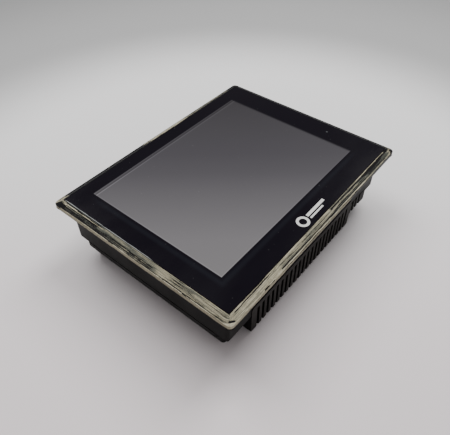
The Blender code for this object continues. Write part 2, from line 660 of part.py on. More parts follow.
def make_usb_port(name, material, centre, size, tongue, tongue_offset):
    """A pressed shell that is open to the outside, with the contact tongue inside."""
    shell_y = (43.5, 57.4)
    port = solid(name, material, (add_prism, rounded_rectangle(size, 0.5, centre, 2), *shell_y, "Y"))
    foot_z = (centre[1] + size[1] / 2 - 0.2, UNDER_BOARD)
    if foot_z[1] > foot_z[0]:
        add_to(port, (add_box, (centre[0] - size[0] / 2 + 0.5, centre[0] + size[0] / 2 - 0.5), (44.0, 53.0), foot_z))
    mouth = (size[0] - 0.7, size[1] - 0.7)
    cut_from(port, (add_prism, rounded_rectangle(mouth, 0.3, centre, 2), 47.0, 58.0, "Y"))
    low = centre[1] + tongue_offset - tongue[1] / 2
    add_to(port, (add_box, (centre[0] - tongue[0] / 2, centre[0] + tongue[0] / 2), (46.0, 56.0),
                  (low, low + tongue[1])))
    shade_round(port)


def make_usb_ports(materials):
    make_usb_port("usb_host_port", materials["zinc"], (USB_HOST_X, 10.8), (13.4, 6.0), (11.0, 1.8), 0.6)
    make_usb_port("usb_client_port", materials["zinc"], (USB_CLIENT_X, 9.2), (12.2, 11.0), (5.6, 3.2), 0.0)


def terminal_xs():
    return [POWER_X + POWER_PITCH * i for i in (-1, 0, 1)]


def make_power_terminal(materials):
    """The header on the board, and the plug that pulls off it."""
    header = solid("power_header", materials["terminal"],
                   (add_box, (POWER_X - 8.8, POWER_X + 8.8), (43.0, 56.8), (3.2, UNDER_BOARD)))
    cut_from(header, (add_box, (POWER_X - 8.0, POWER_X + 8.0), (47.5, 58.0), (4.2, 14.3)))
    add_to(header, *[(add_cylinder, (x, 9.2), 0.5, 47.0, 54.5, "Y", 8) for x in terminal_xs()])
    shade_round(header)

    plug = solid("power_plug", materials["terminal"],
                 (add_box, (POWER_X - 7.6, POWER_X + 7.6), (48.2, 58.0), (4.6, 13.9)))
    add_to(plug, (add_box, (POWER_X - 7.9, POWER_X + 7.9), (57.6, 65.2), (3.4, 15.0)))
    cut_from(plug, *[(add_cylinder, (x, 9.2), 0.9, 47.0, 55.2, "Y", 10) for x in terminal_xs()])
    cut_from(plug, *[(add_box, (x - 1.7, x + 1.7), (58.6, 66.0), (8.9, 12.9)) for x in terminal_xs()])
    cut_from(plug, *[(add_cylinder, (x, 61.8), 2.1, 2.0, 6.6) for x in terminal_xs()])
    cut_from(plug, *[(add_cylinder, (x, 61.8), 1.5, 6.0, 8.3, "Z", 12) for x in terminal_xs()])
    shade_round(plug)
    for number, x in enumerate(terminal_xs(), 1):
        make_terminal_screw(f"terminal_screw_{number}", materials["zinc"], (x, 61.8))


def make_terminal_screw(name, material, place):
    """A slotted screw that turns about its own axis, reached from the rear."""
    screw = solid(name, material, (add_cylinder, place, 1.8, 4.0, 6.2, "Z", 20), origin=(*place, 4.0))
    add_to(screw, (add_cylinder, place, 1.1, 6.0, 7.8, "Z", 12))
    cut_from(screw, (add_box, (place[0] - 2.2, place[0] + 2.2), (place[1] - 0.3, place[1] + 0.3), (3.0, 4.8)))
    shade_round(screw)


# --- right side ----------------------------------------------------------------------------------------

def make_card_socket(materials):
    """An open-ended slot for a memory card, fixed on the board behind the case's slot."""
    socket = solid("card_socket", materials["steel"],
                   (add_box, (52.0, 80.0), (CARD_Y - 14.0, CARD_Y + 14.0), (ON_BOARD, 22.0)))
    cut_from(socket, (add_box, (55.0, 81.0), (CARD_Y - 12.4, CARD_Y + 12.4), (18.6, 21.2)))


def make_battery(materials):
    x, y, z = CELL_CENTRE
    top = 28.3
    holder = solid("battery_holder", materials["moulding"],
                   (add_box, (57.0, 79.8), (y - 11.5, y + 11.5), (ON_BOARD, top)))
    pocket_z = (z - CELL_THICK / 2 - 0.4, z + CELL_THICK / 2 + 0.4)
    cut_from(holder, (add_cylinder, (x, y), CELL_RADIUS + 0.4, *pocket_z, "Z", 32))
    cut_from(holder, (add_box, (x, 81.0), (y - CELL_RADIUS - 0.4, y + CELL_RADIUS + 0.4), pocket_z))
    cut_from(holder, (add_box, (x - 4, 81.0), (y - 5, y + 5), (z, top + 1)))
    shade_round(holder)
    cell = solid("coin_battery", materials["zinc"],
                 (add_cylinder, (x, y), CELL_RADIUS, z - CELL_THICK / 2, z + CELL_THICK / 2, "Z", 32))
    shade_round(cell)


def make_battery_cover(materials):
    """A small flap in the right wall. It swings out about pins at the ends of its lower edge."""
    half = DOOR_SIZE[0] / 2 - 0.4
    top = DOOR_SILL + DOOR_SIZE[1] - 0.4
    radius = 1.1
    knuckle_arc = [math.radians(180 + 15 * i) for i in range(13)]
    outline = [(HINGE_X + radius * math.cos(a), HINGE_Z + radius * math.sin(a)) for a in knuckle_arc]
    outline += [(HINGE_X + radius, top), (HINGE_X + radius - 1.8, top), (HINGE_X + radius - 1.8, HINGE_Z + 0.6)]
    cover = solid("battery_cover", materials["case"],
                  (add_prism, outline, DOOR_Y - half, DOOR_Y + half, "Y"), origin=(HINGE_X, DOOR_Y, HINGE_Z))
    add_to(cover, (add_cylinder, (HINGE_X, HINGE_Z), 0.55, DOOR_Y - half - 1.4, DOOR_Y + half + 1.4, "Y", 10))
    grooves = [(add_box, (HINGE_X + radius - 0.4, 87.0), (DOOR_Y - 5.0, DOOR_Y + 5.0), (z, z + 0.5))
               for z in (25.0, 26.2, 27.4)]
    cut_from(cover, *grooves)
    shade_round(cover)


def make_service_key(materials):
    """The service button in the wall and the switch on the board that it presses."""
    key = solid("system_key", materials["moulding"],
                (add_cylinder, (KEY_Y, KEY_Z), 2.5, 79.4, SIDE_FACE_X + 0.3, "X", 24), origin=(82.0, KEY_Y, KEY_Z))
    add_to(key, (add_cylinder, (KEY_Y, KEY_Z), 3.4, 81.2, 82.6, "X", 24))
    shade_round(key)
    switch = solid("key_switch", materials["chip"],
                   (add_box, (73.0, 77.0), (KEY_Y - 3.0, KEY_Y + 3.0), (ON_BOARD, 24.3)))
    add_to(switch, (add_cylinder, (KEY_Y, KEY_Z), 1.4, 76.5, 78.2, "X", 12))
    shade_round(switch)


def clear_scene():
    for item in list(bpy.data.objects):
        bpy.data.objects.remove(item, do_unlink=True)


def main():
    clear_scene()
    materials = make_materials()
    make_overlay_film(materials)
    make_front_bezel(materials)
    make_touch_sensor(materials)
    make_display_module(materials)
    make_bracket(materials)
    make_screws(materials)
    make_gasket(materials)
    make_rear_housing(materials)
    make_main_board(materials)
    make_processor(materials)
    make_power_parts(materials)
    make_buzzer(materials)
    make_lamp(materials)
    make_ribbons(materials)
    make_com_ports(materials)
    make_usb_ports(materials)
    make_power_terminal(materials)
    make_card_socket(materials)
    make_battery(materials)
    make_battery_cover(materials)
    make_service_key(materials)


main()
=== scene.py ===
"""Looks of the HMI touch panel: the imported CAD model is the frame, and this adds finish and fine shape.

The panel lies on its back: +X is the screen's right, +Y its top, and +Z points out of the screen. Sizes and
places on it are written in millimetres. Blender's own values, such as mesh points, are in metres.
"""
import json
import math

import bmesh
import bpy
from mathutils import Matrix, Vector, noise


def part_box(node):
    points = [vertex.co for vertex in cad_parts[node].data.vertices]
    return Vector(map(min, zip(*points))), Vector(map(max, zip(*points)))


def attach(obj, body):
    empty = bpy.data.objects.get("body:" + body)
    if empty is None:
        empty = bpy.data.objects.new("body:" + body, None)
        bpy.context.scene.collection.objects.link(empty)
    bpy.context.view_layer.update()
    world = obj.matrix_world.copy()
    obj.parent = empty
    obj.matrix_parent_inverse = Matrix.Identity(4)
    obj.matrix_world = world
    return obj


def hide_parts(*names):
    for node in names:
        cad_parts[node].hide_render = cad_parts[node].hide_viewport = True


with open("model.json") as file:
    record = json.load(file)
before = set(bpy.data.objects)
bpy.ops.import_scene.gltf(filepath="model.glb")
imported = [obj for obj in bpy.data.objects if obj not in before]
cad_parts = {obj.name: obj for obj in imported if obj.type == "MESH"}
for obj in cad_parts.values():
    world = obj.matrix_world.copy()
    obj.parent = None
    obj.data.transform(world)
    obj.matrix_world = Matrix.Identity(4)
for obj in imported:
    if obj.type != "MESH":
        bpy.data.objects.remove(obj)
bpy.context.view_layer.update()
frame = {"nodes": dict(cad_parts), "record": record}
NODES = frame["nodes"]
MM = 0.001
GAP = 0.3  # what touching CAD pieces keep between them
VIEW_RUN = (0.767, 0.642)  # the way that the camera looks, seen from above

# The screen's window in the film
WINDOW_CENTRE = (-1.1, 3.6)
WINDOW_HALF = (70.5, 52.9)
WINDOW_LEFT, WINDOW_RIGHT = (WINDOW_CENTRE[0] + way * WINDOW_HALF[0] for way in (-1, 1))
WINDOW_LOW, WINDOW_TOP = (WINDOW_CENTRE[1] + way * WINDOW_HALF[1] for way in (-1, 1))

BEZEL_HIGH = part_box("front_bezel")[1] / MM
FILM_LOW, FILM_HIGH = (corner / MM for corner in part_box("overlay_film"))
LAMP = tuple(sum(ends) / 2 / MM for ends in zip(*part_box("light_pipe")))


# --- node graph helpers ---------------------------------------------------------------------------

class Graph:
    """A Principled material whose nodes are made and linked by short calls.

    The values are set on the shader's own sockets, with _ for a space in a socket's name.
    """

    def __init__(self, name, **values):
        self.material = bpy.data.materials.new(name)
        self.material.use_nodes = True
        self.tree = self.material.node_tree
        self.shader = self.tree.nodes["Principled BSDF"]
        for socket, value in values.items():
            self.set(self.shader, socket.replace("_", " "), value)
        self.place = self.tree.nodes.new("ShaderNodeTexCoord").outputs["Object"]

    def set(self, node, socket, value):
        """Links a socket to another node's output, or sets its value."""
        target = node.inputs[socket]
        if isinstance(value, bpy.types.NodeSocket):
            self.tree.links.new(value, target)
        elif isinstance(value, tuple) and len(value) == 3 and target.type == "RGBA":
            target.default_value = (*value, 1.0)
        else:
            target.default_value = value

    def node(self, kind, inputs=(), **settings):
        made = self.tree.nodes.new("ShaderNode" + kind)
        for key, value in settings.items():
            setattr(made, key, value)
        for socket, value in dict(inputs).items():
            self.set(made, socket, value)
        return made

    # Numbers

    def math(self, operation, first, second=0.0, third=0.0):
        return self.node("Math", {0: first, 1: second, 2: third}, operation=operation).outputs[0]

    def product(self, *values):
        result = values[0]
        for value in values[1:]:
            result = self.math("MULTIPLY", result, value)
        return result

    def total(self, *values):
        result = values[0]
        for value in values[1:]:
            result = self.math("ADD", result, value)
        return result

    def off(self, value, middle):
        """How far a value is from a middle, on either side."""
        return self.math("ABSOLUTE", self.math("SUBTRACT", value, middle))

    def range(self, value, low, high, to_low=0.0, to_high=1.0):
        """A smooth step: to_low below low, to_high above high."""
        inputs = {"Value": value, "From Min": low, "From Max": high, "To Min": to_low, "To Max": to_high}
        return self.node("MapRange", inputs, interpolation_type="SMOOTHSTEP").outputs[0]

    def fall(self, value, low, high):
        """A smooth step down: 1 below low, 0 above high."""
        return self.range(value, low, high, 1.0, 0.0)

    def band(self, value, middle, half_width, soft):
        """1 within half_width of the middle, and 0 further off."""
        return self.fall(self.off(value, middle), half_width, half_width + soft)

    # Places and patterns

    def attribute(self, name, output="Fac"):
        return self.node("Attribute", attribute_name=name).outputs[output]

    def stretched(self, x=1.0, y=1.0, z=1.0, source=None):
        """Coordinates scaled along each axis, to draw a texture out. They are in metres at first."""
        made = self.node("VectorMath", {0: source or self.place, 1: (x, y, z)}, operation="MULTIPLY")
        return made.outputs[0]

    def place_mm(self):
        """The object's own coordinates, in millimetres."""
        return self.stretched(1 / MM, 1 / MM, 1 / MM)

    def axes(self):
        """The object's own X, Y and Z, in millimetres."""
        return tuple(self.node("SeparateXYZ", {0: self.place_mm()}).outputs)

    def away_from(self, x, y, centre):
        """How far a place is from a point, in millimetres."""
        squares = [self.math("POWER", self.math("SUBTRACT", value, middle), 2.0)
                   for value, middle in zip((x, y), centre)]
        return self.math("SQRT", self.total(*squares))

    def view_depth(self, x, y):
        """How far a place lies behind the panel's middle, as the camera looks, in millimetres."""
        return self.total(self.math("MULTIPLY", x, VIEW_RUN[0]), self.math("MULTIPLY", y, VIEW_RUN[1]))

    def noise(self, scale, detail=3.0, roughness=0.5, vector=None):
        inputs = {"Vector": vector or self.place, "Scale": scale, "Detail": detail, "Roughness": roughness}
        return self.node("TexNoise", inputs).outputs[0]

    # Colours and the shader

    def mix(self, factor, first, second):
        made = self.node("Mix", {0: factor}, data_type="RGBA")
        self.set(made, 6, first)
        self.set(made, 7, second)
        return made.outputs[2]

    def ramp(self, value, *stops):
        """A colour read off stops of (position, colour)."""
        made = self.node("ValToRGB", {0: value})
        elements = made.color_ramp.elements
        while len(elements) < len(stops):
            elements.new(0.5)
        for element, (position, colour) in zip(elements, stops):
            element.position = position
            element.color = (*colour, 1.0)
        return made.outputs[0]

    def colour(self, value):
        self.set(self.shader, "Base Color", value)

    def roughness(self, value):
        self.set(self.shader, "Roughness", value)

    def bump(self, height, distance, strength=1.0):
        made = self.node("Bump", {"Height": height, "Distance": distance, "Strength": strength})
        self.set(self.shader, "Normal", made.outputs[0])


def dress(material, name):
    """Gives a CAD node that keeps its own shape a material."""
    mesh = NODES[name].data
    mesh.materials.clear()
    mesh.materials.append(material)


# --- camera, light and floor ------------------------------------------------------------------------

CAMERA_PLACE = Vector((-0.1887, -0.1500, 0.2543))
CAMERA_AIM = Vector((0.0019, 0.0091, 0.0))
CAMERA_LENS = 37.86
CAMERA_ROLL = math.radians(-0.78)

WORLD_TINT = (1.0, 0.985, 0.99, 1.0)
WORLD_HORIZON = 0.30
WORLD_ZENITH = 0.50

# Each light: its name, its place and size in metres, and its power. All point at the panel's middle.
SOFTBOXES = (
    ("back_softbox", (0.0, 0.62, 1.10), (0.6, 0.8), 10.0),
    ("right_softbox", (0.74, -0.04, 1.10), (0.5, 0.8), 13.0),
)

FLOOR_REACH = 3.0  # metres from its middle to its edge
FLOOR_FRONT = (0.772, 0.710, 0.720)
FLOOR_BACK = (0.795, 0.790, 0.790)
FLOOR_TURN = 120.0  # the front colour turns into the back one within this depth of the middle
# Painted shade: the floor's colour darkens away from the panel, where the light falls off: from and to this
# distance, and the colour there
FLOOR_SHADE_FADES = ((210.0, 350.0, (0.345, 0.345, 0.345)), (330.0, 600.0, (0.215, 0.215, 0.215)))


def make_camera():
    data = bpy.data.cameras.new("camera")
    data.lens = CAMERA_LENS
    data.sensor_width = 36.0
    data.clip_start = 0.01
    camera = bpy.data.objects.new("camera", data)
    turn = (CAMERA_AIM - CAMERA_PLACE).to_track_quat("-Z", "Y").to_matrix()
    turn = turn @ Matrix.Rotation(CAMERA_ROLL, 3, "Z")
    camera.matrix_world = Matrix.Translation(CAMERA_PLACE) @ turn.to_4x4()
    bpy.context.scene.collection.objects.link(camera)
    bpy.context.scene.camera = camera


def make_softbox(name, place, size, power):
    data = bpy.data.lights.new(name, "AREA")
    data.shape = "RECTANGLE"
    data.size, data.size_y = size
    data.energy = power
    light = bpy.data.objects.new(name, data)
    light.location = place
    light.rotation_mode = "QUATERNION"
    light.rotation_quaternion = (-Vector(place)).to_track_quat("-Z", "Y")
    bpy.context.scene.collection.objects.link(light)


def make_world():
    """An even room that is brighter overhead than near the horizon."""
    world = bpy.data.worlds.new("studio")
    world.use_nodes = True
    nodes, links = world.node_tree.nodes, world.node_tree.links
    coordinates = nodes.new("ShaderNodeTexCoord")
    split = nodes.new("ShaderNodeSeparateXYZ")
    height = nodes.new("ShaderNodeMapRange")
    height.inputs["To Min"].default_value = WORLD_HORIZON
    height.inputs["To Max"].default_value = WORLD_ZENITH
    links.new(coordinates.outputs["Generated"], split.inputs[0])
    links.new(split.outputs[2], height.inputs["Value"])
    links.new(height.outputs[0], nodes["Background"].inputs["Strength"])
    nodes["Background"].inputs["Color"].default_value = WORLD_TINT
    bpy.context.scene.world = world


def floor_material():
    """A pale table top that darkens away from the panel, as the photo's does."""
    graph = Graph("floor", Roughness=0.65)
    x, y, _ = graph.axes()
    distance = graph.node("VectorMath", {0: graph.place_mm()}, operation="LENGTH").outputs["Value"]
    colour = graph.mix(graph.range(graph.view_depth(x, y), -FLOOR_TURN, FLOOR_TURN), FLOOR_FRONT, FLOOR_BACK)
    # Painted shade: the floor darkens with distance, standing in for light falling off
    for start, end, darker in FLOOR_SHADE_FADES:
        colour = graph.mix(graph.range(distance, start, end), colour, darker)
    graph.colour(colour)
    return graph.material


def make_floor():
    bm = bmesh.new()
    bmesh.ops.create_grid(bm, x_segments=1, y_segments=1, size=FLOOR_REACH)
    mesh = bpy.data.meshes.new("floor")
    bm.to_mesh(mesh)
    bm.free()
    floor = bpy.data.objects.new("floor", mesh)
    bpy.context.scene.collection.objects.link(floor)
    mesh.materials.append(floor_material())


def make_studio():
    make_camera()
    make_world()
    make_floor()
    for softbox in SOFTBOXES:
        make_softbox(*softbox)


# --- outlines and meshes -------------------------------------------------------------------------------

CORNER_STEPS = 10
CORNER_SIGNS = ((1, 1), (-1, 1), (-1, -1), (1, -1))  # anticlockwise
TUBE_SEGMENTS = 32


def rounded_points(half, radius, centre=(0.0, 0.0), counts=(0, 0)):
    """Points anticlockwise round a rectangle with round corners, as many whatever its size.

    The counts are of the points between two corners, along X and along Y.
    """
    cores = [Vector((centre[0] + sign_x * (half[0] - radius), centre[1] + sign_y * (half[1] - radius)))
             for sign_x, sign_y in CORNER_SIGNS]
    points = []
    for quarter, core in enumerate(cores):
        for step in range(CORNER_STEPS + 1):
            angle = math.radians(90 * (quarter + step / CORNER_STEPS))
            points.append(core + radius * Vector((math.cos(angle), math.sin(angle))))
        start = points[-1]
        run = cores[(quarter + 1) % 4] - core
        inner = counts[quarter % 2]
        points += [start + run * (i / (inner + 1)) for i in range(1, inner + 1)]
    return points


def loft_mesh(name, levels, closed=True):
    """A skin through levels (points, height). The last joins the first when it is closed."""
    count = len(levels[0][0])
    vertices = [(p.x * MM, p.y * MM, z * MM) for points, z in levels for p in points]
    pairs = [(i, i + 1) for i in range(len(levels) - 1)]
    if closed:
        pairs.append((len(levels) - 1, 0))
    faces = []
    for lower, upper in pairs:
        for i in range(count):
            j = (i + 1) % count
            faces.append((lower * count + i, lower * count + j, upper * count + j, upper * count + i))
    mesh = bpy.data.meshes.new(name)
    mesh.from_pydata(vertices, [], faces)
    mesh.update()
    return mesh


def turn_outwards(mesh, fill=False):
    """Makes every face point outwards, after closing the open ends if asked."""
    bm = bmesh.new()
    bm.from_mesh(mesh)
    if fill:
        bmesh.ops.holes_fill(bm, edges=bm.edges)
    bmesh.ops.recalc_face_normals(bm, faces=bm.faces)
    bm.to_mesh(mesh)
    bm.free()


def box_mesh(low, high):
    bm = bmesh.new()
    bmesh.ops.create_cube(bm, size=1.0)
    for vertex in bm.verts:
        vertex.co = [MM * (a if c < 0 else b) for a, b, c in zip(low, high, vertex.co)]
    mesh = bpy.data.meshes.new("box")
    bm.to_mesh(mesh)
    bm.free()
    return mesh


def tube_mesh(centre, outer, inner, low, high):
    """A tube about Z, or a rod where the inner radius is 0."""
    bm = bmesh.new()
    rings = [(outer, low), (outer, high)]
    if inner:
        rings += [(inner, high), (inner, low)]
    turns = [2 * math.pi * i / TUBE_SEGMENTS for i in range(TUBE_SEGMENTS)]
    loops = []
    for radius, z in rings:
        loops.append([bm.verts.new((MM * (centre[0] + radius * math.cos(turn)),
                                    MM * (centre[1] + radius * math.sin(turn)), MM * z)) for turn in turns])
    for first, second in zip(loops, loops[1:] + (loops[:1] if inner else [])):
        for i in range(TUBE_SEGMENTS):
            j = (i + 1) % TUBE_SEGMENTS
            bm.faces.new((first[i], first[j], second[j], second[i]))
    if not inner:
        bm.faces.new(loops[0][::-1])
        bm.faces.new(loops[1])
    bmesh.ops.recalc_face_normals(bm, faces=bm.faces)
    mesh = bpy.data.meshes.new("tube")
    bm.to_mesh(mesh)
    bm.free()
    return mesh


def cut_mesh(mesh, *cutters):
    """Cuts closed shapes out of a closed mesh."""
    item = bpy.data.objects.new("cut", mesh)
    bpy.context.scene.collection.objects.link(item)
    tools = []
    for cutter in cutters:
        tool = bpy.data.objects.new("tool", cutter)
        bpy.context.scene.collection.objects.link(tool)
        modifier = item.modifiers.new("cut", "BOOLEAN")
        modifier.operation = "DIFFERENCE"
        modifier.solver = "MANIFOLD"
        modifier.object = tool
        tools.append(tool)
    depsgraph = bpy.context.evaluated_depsgraph_get()
    result = bpy.data.meshes.new_from_object(item.evaluated_get(depsgraph))
    for each in (item, *tools):
        bpy.data.objects.remove(each, do_unlink=True)
    return result


def join_meshes(name, meshes):
    bm = bmesh.new()
    for mesh in meshes:
        bm.from_mesh(mesh)
    joined = bpy.data.meshes.new(name)
    bm.to_mesh(joined)
    bm.free()
    return joined


def add_piece(name, mesh, material, body, slot, *replaced, smooth=40):
    """Adds a new piece: shading is smooth up to an angle in degrees between two faces."""
    mesh.shade_smooth()
    mesh.set_sharp_from_angle(angle=math.radians(smooth))
    mesh.materials.clear()
    mesh.materials.append(material)
    piece = bpy.data.objects.new(name, mesh)
    bpy.context.scene.collection.objects.link(piece)
    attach(piece, body)
    if replaced:
        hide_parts(*replaced)


def clamp(value, low=0.0, high=1.0):
    return min(max(value, low), high)


def smoothstep(low, high, value):
    t = clamp((value - low) / (high - low))
    return t * t * (3.0 - 2.0 * t)


# --- the bezel's shape ------------------------------------------------------------------------------------

BEZEL_HALF = (BEZEL_HIGH.x, BEZEL_HIGH.y)
RECESS_HALF = (FILM_HIGH.x + GAP, FILM_HIGH.y + GAP)  # the recess that the film lies in
RECESS_RADIUS = 1.9
LIP = 0.08  # the small chamfer at the recess's edge
STEP_LENGTH = 0.6  # between two points along a side

SLOPE_WIDTH = 4.6
SLOPE_TOP = 49.9
SLOPE_FOOT = 47.7
SLOPE_ROWS = 16
SLOPE_RADIUS = 2.0
SLOPE_RADIUS_GAIN = 0.8
BROW_ROWS = 5  # the rounding from the slope over to the side
BROW_TURN = 65.0
BROW_EASE = 1.6
BROW_INSET = 0.45
BROW_RISE = 0.2
BROW_DROP = 0.62
SIDE_RADIUS = 2.8
SIDE_TOP = 47.3
SIDE_ROWS = 9
FLANGE_BACK = 44.3
FLANGE_ROUND = 0.3

# Behind the flange and inside the bezel, as in the CAD: half size, corner radius and centre
COLLAR_OUTER = ((82.4, 62.2), 3.0, (0.0, 0.0))
COLLAR_INNER = ((81.0, 60.8), 2.0, (0.0, 0.0))
TOUCH_POCKET = ((76.9, 59.3), 1.5, WINDOW_CENTRE)
MODULE_POCKET = ((74.9, 59.0), 1.5, (-1.1, 1.7))
LEDGE_WINDOW = ((72.5, 54.9), 1.0, WINDOW_CENTRE)
COLLAR_END = 41.5
LEDGE_UNDER = 45.3
LEDGE_TOP = 46.6

CUT_LOW, CUT_HIGH = 43.0, 51.0  # cuts that go right through the bezel
FLEX_SLOT = (
    ((-20.5, -60.2, 47.4), (-5.5, -55.0, CUT_HIGH)),
    ((-20.5, -60.1, CUT_LOW), (-5.5, -58.0, CUT_HIGH)),
)
LAMP_HOLE_RADIUS = 1.6

# The screw posts behind the flange
POST_X = 79.4
POST_Y = (35.0, 60.0)
POST_RADIUS = 2.4
POST_BORE = 1.4
POST_FOOT = 38.3
POST_OVERLAP = 0.4  # how far a post reaches into the flange


def bezel_levels():
    """The bezel's section, level by level, from the film's seat outwards, down and back underneath."""
    counts = [round(2 * (half - COORDINATE_CORNER) / STEP_LENGTH) for half in BEZEL_HALF]

    def level(inset, radius, z):
        half = (BEZEL_HALF[0] - inset, BEZEL_HALF[1] - inset)
        return rounded_points(half, radius, counts=counts), z

    def edge(outline, z):
        return rounded_points(*outline, counts), z

    seat = FILM_LOW.z - GAP
    recess_inset = BEZEL_HALF[0] - RECESS_HALF[0]
    levels = [edge(TOUCH_POCKET, LEDGE_TOP), edge(TOUCH_POCKET, seat),
              level(recess_inset, RECESS_RADIUS, seat), level(recess_inset, RECESS_RADIUS, SLOPE_TOP - LIP),
              level(recess_inset - LIP, RECESS_RADIUS + 0.05, SLOPE_TOP)]
    for i in range(SLOPE_ROWS):
        t = i / SLOPE_ROWS
        drop = (SLOPE_TOP - SLOPE_FOOT) * t
        levels.append(level(SLOPE_WIDTH * (1 - t), SLOPE_RADIUS + SLOPE_RADIUS_GAIN * t, SLOPE_TOP - drop))
    for i in range(BROW_ROWS):
        angle = math.radians(BROW_TURN * i / (BROW_ROWS - 1))
        inset = BROW_INSET * (1 - math.sin(angle) / math.sin(math.radians(BROW_TURN))) ** BROW_EASE
        levels.append(level(inset, SIDE_RADIUS, SLOPE_FOOT + BROW_RISE - BROW_DROP * (1 - math.cos(angle))))
    for i in range(SIDE_ROWS):
        drop = (SIDE_TOP - FLANGE_BACK - FLANGE_ROUND) * i / (SIDE_ROWS - 1)
        levels.append(level(0.0, SIDE_RADIUS, SIDE_TOP - drop))
    levels += [level(0.10, SIDE_RADIUS - 0.1, FLANGE_BACK + 0.1), level(0.35, SIDE_RADIUS - 0.3, FLANGE_BACK),
               edge(COLLAR_OUTER, FLANGE_BACK), edge(COLLAR_OUTER, COLLAR_END),
               edge(COLLAR_INNER, COLLAR_END), edge(COLLAR_INNER, FLANGE_BACK),
               edge(MODULE_POCKET, FLANGE_BACK), edge(MODULE_POCKET, LEDGE_UNDER),
               edge(LEDGE_WINDOW, LEDGE_UNDER), edge(LEDGE_WINDOW, LEDGE_TOP)]
    return levels


def bezel_mesh():
    """The bezel with its ribbon slot and lamp hole, and sealant on its outside."""
    skin = loft_mesh("front_bezel_skin", bezel_levels())
    turn_outwards(skin)
    slots = [box_mesh(*corners) for corners in FLEX_SLOT]
    mesh = cut_mesh(skin, *slots, tube_mesh(LAMP, LAMP_HOLE_RADIUS, 0.0, CUT_LOW, CUT_HIGH))
    lay_sealant(mesh)
    return mesh


def make_bezel(material):
    add_piece("front_bezel_finish", bezel_mesh(), material, "panel", "bezel", "front_bezel", smooth=50)
    top = FLANGE_BACK + POST_OVERLAP
    posts = [tube_mesh((sign_x * POST_X, sign_y * y), POST_RADIUS, POST_BORE, POST_FOOT, top)
             for sign_x in (-1, 1) for sign_y in (-1, 1) for y in POST_Y]
    add_piece("bezel_posts", join_meshes("bezel_posts", posts), material, "panel", "bezel")


# --- the bezel's sealant ------------------------------------------------------------------------------------
# The slope and the side carry old sealant, smeared along them. A place is given by its side, by s, which
# runs from 0 to 1 along the side, anticlockwise as the front is seen, and by a: 0 at the film, 1 at the
# slope's outer edge and 2 at the flange's foot.

COORDINATE_CORNER = 6.0  # the corner radius that these coordinates turn with
SEALANT_DEPTH = 0.22
STROKE_SOFT_S = 0.012
STROKE_SOFT_A = 0.035
SIDE_STARTS = {"right": 0.0, "top": 250.0, "left": 500.0, "bottom": 750.0}  # sets the sides' noise apart

# Each stroke: s from, s to, a from, a to, amount. Negative amounts scrape the sealant off.
SEALANT = {
    "left": (
        (0.02, 1.10, 0.91, 1.74, 0.95), (-0.10, 0.04, -0.10, 0.30, 0.60), (0.04, 0.28, 0.12, 0.21, 0.85),
        (0.03, 0.45, -0.10, 0.08, 0.40), (0.04, 0.42, 0.26, 0.84, 0.34), (0.28, 0.62, -0.10, 0.42, 0.72),
        (0.42, 0.66, 0.42, 0.84, 0.46), (0.60, 1.10, -0.10, 0.80, 0.82), (0.82, 1.10, 0.80, 0.95, 0.60),
        (-0.10, 0.96, 0.83, 0.91, -0.90), (0.36, 0.82, 0.46, 0.53, -0.60), (0.52, 0.95, 0.66, 0.74, -0.50),
        (0.70, 0.98, 0.28, 0.34, -0.50), (0.997, 1.10, 0.64, 0.88, -1.40),
    ),
    "bottom": (
        (-0.10, 0.07, -0.10, 1.74, 0.95), (0.05, 0.22, -0.02, 0.09, 0.90), (0.04, 0.22, 0.12, 0.21, -1.00),
        (0.06, 0.24, 0.22, 1.72, 0.92), (0.20, 0.54, -0.10, 0.30, 0.86), (0.22, 0.54, 0.34, 0.66, 0.62),
        (0.22, 0.82, 0.78, 0.94, 0.86), (0.24, 0.68, 1.08, 1.56, 0.86), (0.20, 0.56, 0.67, 0.76, -0.60),
        (0.52, 0.78, -0.10, 0.10, 0.72), (0.52, 0.78, 0.28, 0.48, 0.76), (0.54, 0.80, 0.52, 0.70, 0.40),
        (0.66, 0.82, 1.08, 1.40, 0.45), (0.76, 0.96, -0.10, 0.06, 0.85), (0.78, 0.95, 0.40, 0.72, 0.36),
        (0.80, 0.98, 0.78, 0.94, 0.80), (0.93, 0.985, 0.30, 0.90, 0.60), (-0.10, 0.002, 0.64, 0.88, -1.20),
        (0.165, 0.185, 0.86, 1.04, -1.70), (0.195, 0.207, 0.90, 1.02, -1.60),
        (0.565, 0.575, 0.62, 0.72, -1.40),
    ),
    "top": (
        (0.05, 0.36, 0.40, 0.84, 0.48), (0.33, 0.57, 0.24, 0.86, 0.85), (0.57, 0.92, 0.62, 0.72, 0.34),
        (0.965, 1.10, 0.10, 1.20, 0.50),
    ),
    "right": (
        (0.00, 0.04, 0.40, 1.00, 0.45), (0.03, 0.20, 0.46, 0.52, 0.30),
    ),
}

